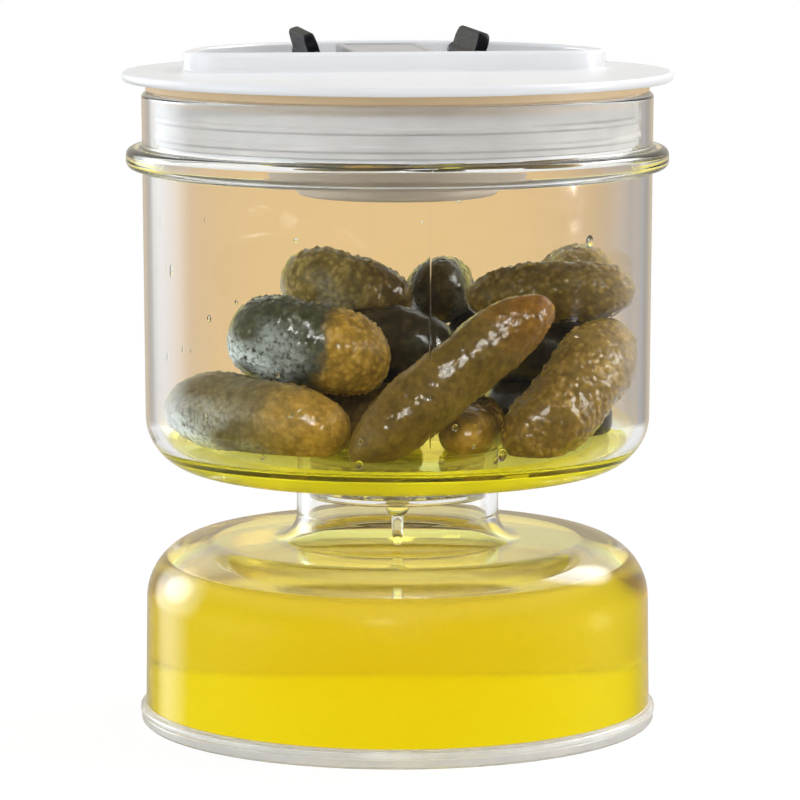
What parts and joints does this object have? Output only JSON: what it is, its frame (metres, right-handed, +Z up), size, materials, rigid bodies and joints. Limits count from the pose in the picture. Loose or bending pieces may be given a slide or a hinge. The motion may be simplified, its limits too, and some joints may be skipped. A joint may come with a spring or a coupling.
{
  "type": "hourglass pickle jar",
  "caption": "Clear hourglass pickle jar: an upper jar of gherkins drains through a strainer in its neck into a lower brine jar, under a lift-off lid with fold-down tabs.",
  "frame": {"origin": "centre of the underside of the base plate", "axes": "+Z up along the jar's axis, -Y towards the straight wall of the lid's tray, +X to the right-hand tab"},
  "size_m": [0.112, 0.112, 0.1412],
  "materials": {
    "clear_plastic": "clear, polished",
    "base_plastic": "milky clear, polished",
    "brine": "clear yellow liquid",
    "gherkin_skin": "wet warty skin",
    "gherkin_dark": "wet warty skin in shade",
    "lid_white": "satin white",
    "cup_plastic": "satin warm grey",
    "seal_silicone": "milky silicone",
    "plate_grey": "satin light grey",
    "tab_black": "glossy black",
    "pin_steel": "brushed"
  },
  "bodies": {
    "lower": {"lower_jar": "clear_plastic", "base_plate": "base_plastic", "brine_lower": "brine"},
    "upper": {"upper_jar": "clear_plastic", "neck_seal": "seal_silicone", "strainer": "clear_plastic", "brine_upper": "brine", "gherkin_1": "gherkin_skin", "gherkin_2": "gherkin_skin", "gherkin_3": "gherkin_skin", "gherkin_4": "gherkin_skin", "gherkin_5": "gherkin_dark", "gherkin_6": "gherkin_skin", "gherkin_7": "gherkin_skin", "gherkin_8": "gherkin_skin", "gherkin_9": "gherkin_skin", "gherkin_10": "gherkin_dark", "gherkin_11": "gherkin_dark", "gherkin_12": "gherkin_dark", "gherkin_13": "gherkin_dark", "gherkin_14": "gherkin_dark"},
    "cover": {"lid": "lid_white", "lid_cup": "cup_plastic", "lid_seal": "seal_silicone", "centre_plate": "plate_grey", "pin_left": "pin_steel", "pin_right": "pin_steel"},
    "left_tab": {"tab_left": "tab_black"},
    "right_tab": {"tab_right": "tab_black"}
  },
  "joints": [
    {"name": "upper_jar_lift", "type": "slide", "parent": "lower", "child": "upper", "axis": [0, 0, 1], "range_m": [0, 0.03]},
    {"name": "lid_lift", "type": "slide", "parent": "upper", "child": "cover", "axis": [0, 0, 1], "range_m": [0, 0.045]},
    {"name": "left_tab_fold", "type": "hinge", "parent": "cover", "child": "left_tab", "pos_m": [-0.0165, 0.015, 0.1357], "axis": [0, -1, 0], "range_deg": [-18, 70]},
    {"name": "right_tab_fold", "type": "hinge", "parent": "cover", "child": "right_tab", "pos_m": [0.0165, 0.015, 0.1357], "axis": [0, 1, 0], "range_deg": [-18, 70]}
  ]
}
